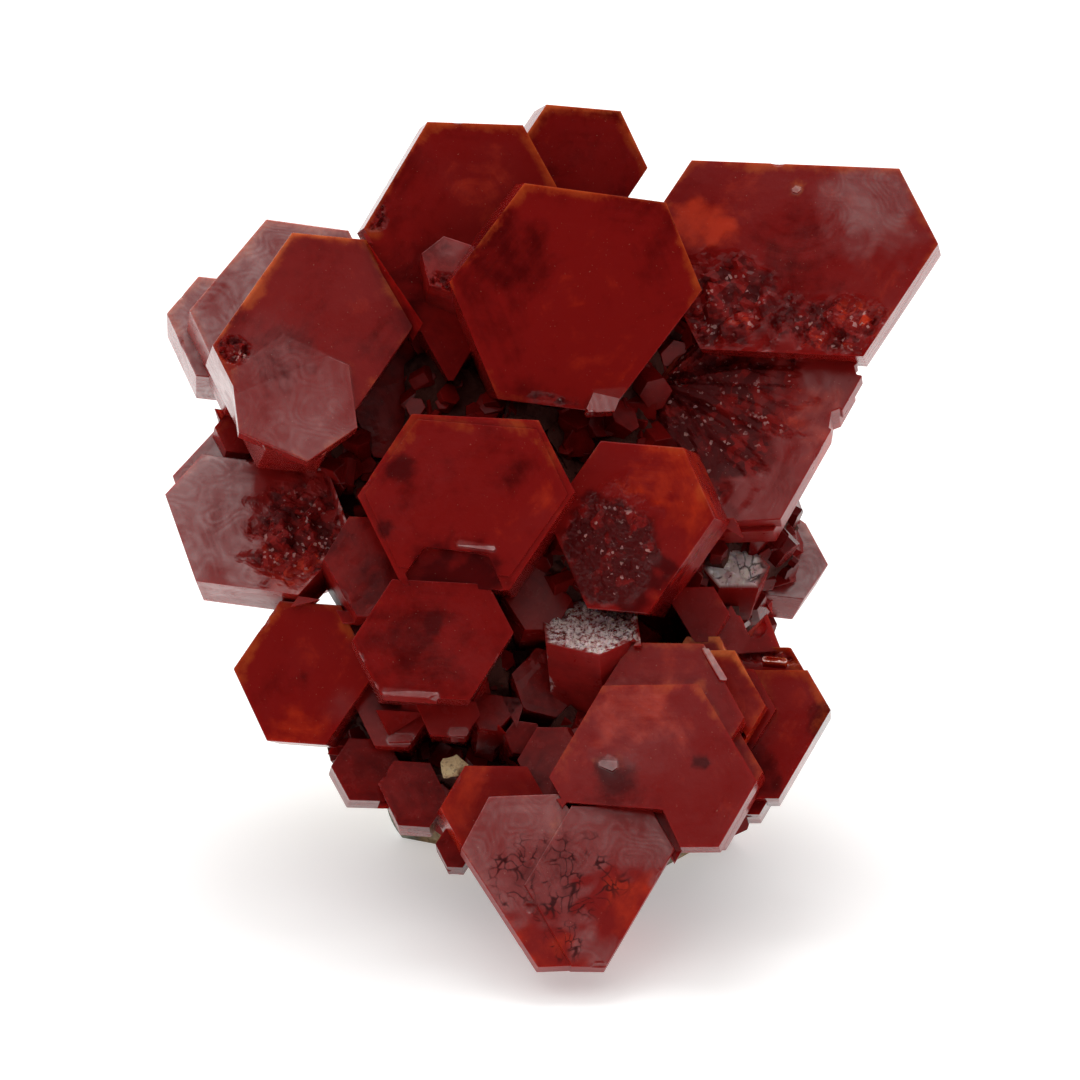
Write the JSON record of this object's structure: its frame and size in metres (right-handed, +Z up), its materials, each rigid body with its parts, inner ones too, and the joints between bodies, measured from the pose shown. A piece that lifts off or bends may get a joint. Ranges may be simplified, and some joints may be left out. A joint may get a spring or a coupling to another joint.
{
  "type": "vanadinite on matrix",
  "caption": "Cluster of deep red tabular hexagonal crystals grown on a lump of pale brown rock, leaning back on the rock's flat foot.",
  "frame": {"origin": "on the surface that the specimen stands on, under the middle of its bounding box", "axes": "+Z up; -Y towards the side that the crystals face; +X to the right of someone looking at that side"},
  "size_m": [0.0356, 0.03, 0.0331],
  "materials": {
    "deep_red_crystal": "gloss",
    "orange_red_crystal": "gloss",
    "dull_red_crystal": "satin",
    "rock": "matte"
  },
  "bodies": {
    "root": {"heart_crystal": "dull_red_crystal", "stepped_front_crystal": "deep_red_crystal", "lower_centre_crystal": "deep_red_crystal", "centre_crystal": "deep_red_crystal", "glowing_crystal": "orange_red_crystal", "left_lower_crystal": "orange_red_crystal", "dull_left_crystal": "dull_red_crystal", "orange_right_crystal": "orange_red_crystal", "dark_right_crystal": "deep_red_crystal", "broken_top_crystal": "dull_red_crystal", "plate_behind_heart": "orange_red_crystal", "left_low_outer_crystal": "deep_red_crystal", "left_low_inner_crystal": "deep_red_crystal", "left_low_small_crystal": "deep_red_crystal", "upper_centre_crystal": "deep_red_crystal", "big_left_crystal": "deep_red_crystal", "upper_left_crystal": "deep_red_crystal", "wedge_crystal": "dull_red_crystal", "left_middle_crystal": "dull_red_crystal", "upper_right_crystal": "deep_red_crystal", "right_fan_crystal": "dull_red_crystal", "behind_left_crystal": "dull_red_crystal", "far_left_crystal": "dull_red_crystal", "top_crystal": "deep_red_crystal", "far_right_crystal": "dull_red_crystal", "silver_facet_crystal": "dull_red_crystal", "small_right_crystal": "dull_red_crystal", "small_mauve_crystal": "dull_red_crystal", "small_dark_crystal": "deep_red_crystal", "orange_middle_crystal": "orange_red_crystal", "upper_middle_crystal": "dull_red_crystal", "glint_crystal": "dull_red_crystal", "waist_crystal": "dull_red_crystal", "inner_rough_crystal": "dull_red_crystal", "inner_left_crystal": "dull_red_crystal", "inner_gap_crystal": "dull_red_crystal", "left_small_crystal": "dull_red_crystal", "left_waist_crystal": "dull_red_crystal", "matrix_rock": "rock"}
  },
  "joints": []
}
